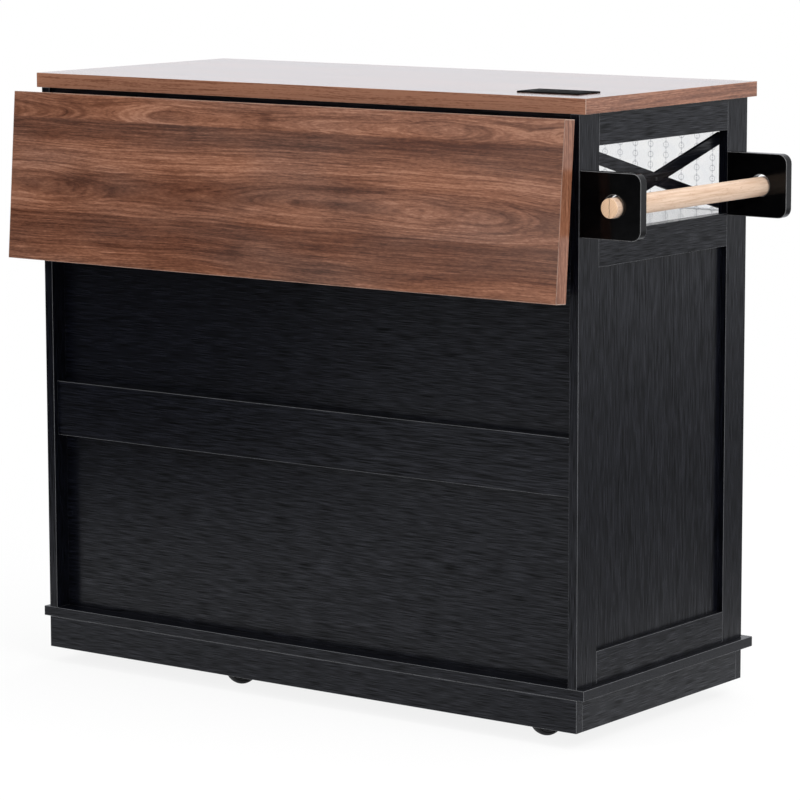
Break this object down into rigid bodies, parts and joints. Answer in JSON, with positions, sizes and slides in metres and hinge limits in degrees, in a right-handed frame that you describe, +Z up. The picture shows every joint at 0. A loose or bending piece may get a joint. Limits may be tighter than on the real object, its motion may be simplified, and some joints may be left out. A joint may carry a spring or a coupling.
{
  "type": "drop leaf kitchen island",
  "caption": "Kitchen island on casters with a drop leaf on folding brackets, a towel rack, sliding glass panes over hinged doors, and a power outlet in the worktop.",
  "frame": {"origin": "bottom centre of the whole island's box, on the floor", "axes": "+Z up, +X along the cabinet away from the towel rack, the glass panes and doors face -Y, the drop leaf hangs on +Y"},
  "size_m": [1.098, 0.5362, 0.919],
  "materials": {
    "walnut_board": "satin walnut foil on board with edge band",
    "black_board": "matt black foil with embossed grain",
    "gloss_black": "smooth black lacquer",
    "beech": "plain turned wood",
    "patterned_glass": "frosted with fine dashed lines",
    "black_plastic": "satin",
    "caster_wheel": "matt",
    "black_steel": "black powder coat"
  },
  "bodies": {
    "cabinet": {"worktop": "walnut_board", "outlet_module": "black_plastic", "rack_end_rear_stile": "black_board", "rack_end_front_stile": "black_board", "rack_end_top_rail": "black_board", "rack_end_mid_rail": "black_board", "rack_end_bottom_rail": "black_board", "rack_end_lower_panel": "black_board", "rack_end_cross_bar_falling": "black_board", "rack_end_cross_bar_rising": "black_board", "far_end_rear_stile": "black_board", "far_end_front_stile": "black_board", "far_end_top_rail": "black_board", "far_end_mid_rail": "black_board", "far_end_bottom_rail": "black_board", "far_end_lower_panel": "black_board", "far_end_cross_bar_falling": "black_board", "far_end_cross_bar_rising": "black_board", "base_board": "black_board", "plinth_rear": "black_board", "plinth_front": "black_board", "plinth_rack_end": "black_board", "plinth_far_end": "black_board", "middle_shelf": "black_board", "front_track_rail": "black_board", "divider": "black_board", "inner_shelf": "black_board", "back_sheet": "black_board", "back_top_rail": "black_board", "back_mid_rail": "black_board", "rack_rear_plate": "gloss_black", "rack_front_plate": "gloss_black", "rack_leaf_bracket": "black_steel", "far_leaf_bracket": "black_steel"},
    "leaf": {"drop_leaf": "walnut_board", "rack_leaf_arm": "black_steel", "far_leaf_arm": "black_steel"},
    "rack_stay": {"rack_leaf_stay": "black_steel"},
    "far_stay": {"far_leaf_stay": "black_steel"},
    "front_pane": {"front_glass_pane": "patterned_glass"},
    "rear_pane": {"rear_glass_pane": "patterned_glass"},
    "rack_door": {"rack_door": "black_board", "rack_door_knob": "black_steel"},
    "middle_door": {"middle_door": "black_board", "middle_door_knob": "black_steel"},
    "far_door": {"far_door": "black_board", "far_door_knob": "black_steel"},
    "dowel": {"towel_dowel": "beech"},
    "rack_rear_fork": {"rack_rear_caster_fork": "black_steel"},
    "rack_rear_wheel": {"rack_rear_caster_wheel": "caster_wheel"},
    "middle_rear_fork": {"middle_rear_caster_fork": "black_steel"},
    "middle_rear_wheel": {"middle_rear_caster_wheel": "caster_wheel"},
    "far_rear_fork": {"far_rear_caster_fork": "black_steel"},
    "far_rear_wheel": {"far_rear_caster_wheel": "caster_wheel"},
    "rack_front_fork": {"rack_front_caster_fork": "black_steel"},
    "rack_front_wheel": {"rack_front_caster_wheel": "caster_wheel"},
    "middle_front_fork": {"middle_front_caster_fork": "black_steel"},
    "middle_front_wheel": {"middle_front_caster_wheel": "caster_wheel"},
    "far_front_fork": {"far_front_caster_fork": "black_steel"},
    "far_front_wheel": {"far_front_caster_wheel": "caster_wheel"}
  },
  "joints": [
    {"name": "leaf_swing", "type": "hinge", "parent": "cabinet", "child": "leaf", "pos_m": [0.044, 0.21034, 0.8781], "axis": [1, 0, 0], "range_deg": [0, 85.5]},
    {"name": "rack_stay_swing", "type": "hinge", "parent": "cabinet", "child": "rack_stay", "pos_m": [-0.286, 0.20434, 0.7931], "axis": [1, 0, 0], "range_deg": [0, 117.75]},
    {"name": "far_stay_swing", "type": "hinge", "parent": "cabinet", "child": "far_stay", "pos_m": [0.374, 0.20434, 0.7931], "axis": [1, 0, 0], "range_deg": [0, 117.75]},
    {"name": "front_pane_slide", "type": "slide", "parent": "cabinet", "child": "front_pane", "axis": [1, 0, 0], "range_m": [0, 0.465]},
    {"name": "rear_pane_slide", "type": "slide", "parent": "cabinet", "child": "rear_pane", "axis": [-1, 0, 0], "range_m": [0, 0.465]},
    {"name": "rack_door_swing", "type": "hinge", "parent": "cabinet", "child": "rack_door", "pos_m": [-0.428, -0.24006, 0.4], "axis": [0, 0, -1], "range_deg": [0, 105]},
    {"name": "middle_door_swing", "type": "hinge", "parent": "cabinet", "child": "middle_door", "pos_m": [0.1775, -0.24006, 0.4], "axis": [0, 0, 1], "range_deg": [0, 105]},
    {"name": "far_door_swing", "type": "hinge", "parent": "cabinet", "child": "far_door", "pos_m": [0.516, -0.24006, 0.4], "axis": [0, 0, 1], "range_deg": [0, 105]},
    {"name": "dowel_slide", "type": "slide", "parent": "cabinet", "child": "dowel", "axis": [0, 1, 0], "range_m": [0, 0.398]},
    {"name": "rack_rear_swivel", "type": "hinge", "parent": "cabinet", "child": "rack_rear_fork", "pos_m": [-0.369, 0.12494, 0.0842], "axis": [0, 0, 1], "continuous": true},
    {"name": "rack_rear_roll", "type": "hinge", "parent": "rack_rear_fork", "child": "rack_rear_wheel", "pos_m": [-0.36055, 0.14083, 0.025], "axis": [-0.8829, 0.4695, 0], "continuous": true},
    {"name": "middle_rear_swivel", "type": "hinge", "parent": "cabinet", "child": "middle_rear_fork", "pos_m": [0.191, 0.12494, 0.0842], "axis": [0, 0, 1], "continuous": true},
    {"name": "middle_rear_roll", "type": "hinge", "parent": "middle_rear_fork", "child": "middle_rear_wheel", "pos_m": [0.19945, 0.14083, 0.025], "axis": [-0.8829, 0.4695, 0], "continuous": true},
    {"name": "far_rear_swivel", "type": "hinge", "parent": "cabinet", "child": "far_rear_fork", "pos_m": [0.457, 0.12494, 0.0842], "axis": [0, 0, 1], "continuous": true},
    {"name": "far_rear_roll", "type": "hinge", "parent": "far_rear_fork", "child": "far_rear_wheel", "pos_m": [0.44668, 0.1102, 0.025], "axis": [0.8192, -0.5736, 0], "continuous": true},
    {"name": "rack_front_swivel", "type": "hinge", "parent": "cabinet", "child": "rack_front_fork", "pos_m": [-0.369, -0.17106, 0.0842], "axis": [0, 0, 1], "continuous": true},
    {"name": "rack_front_roll", "type": "hinge", "parent": "rack_front_fork", "child": "rack_front_wheel", "pos_m": [-0.38591, -0.17722, 0.025], "axis": [0.342, -0.9397, 0], "continuous": true},
    {"name": "middle_front_swivel", "type": "hinge", "parent": "cabinet", "child": "middle_front_fork", "pos_m": [0.191, -0.17106, 0.0842], "axis": [0, 0, 1], "continuous": true},
    {"name": "middle_front_roll", "type": "hinge", "parent": "middle_front_fork", "child": "middle_front_wheel", "pos_m": [0.17409, -0.1649, 0.025], "axis": [-0.342, -0.9397, 0], "continuous": true},
    {"name": "far_front_swivel", "type": "hinge", "parent": "cabinet", "child": "far_front_fork", "pos_m": [0.457, -0.17106, 0.0842], "axis": [0, 0, 1], "continuous": true},
    {"name": "far_front_roll", "type": "hinge", "parent": "far_front_fork", "child": "far_front_wheel", "pos_m": [0.466, -0.18665, 0.025], "axis": [0.866, 0.5, 0], "continuous": true}
  ],
  "couplings": [
    {"joint": "rack_stay_swing", "follows": "leaf_swing", "ratio": 1.3766},
    {"joint": "far_stay_swing", "follows": "leaf_swing", "ratio": 1.3766}
  ]
}
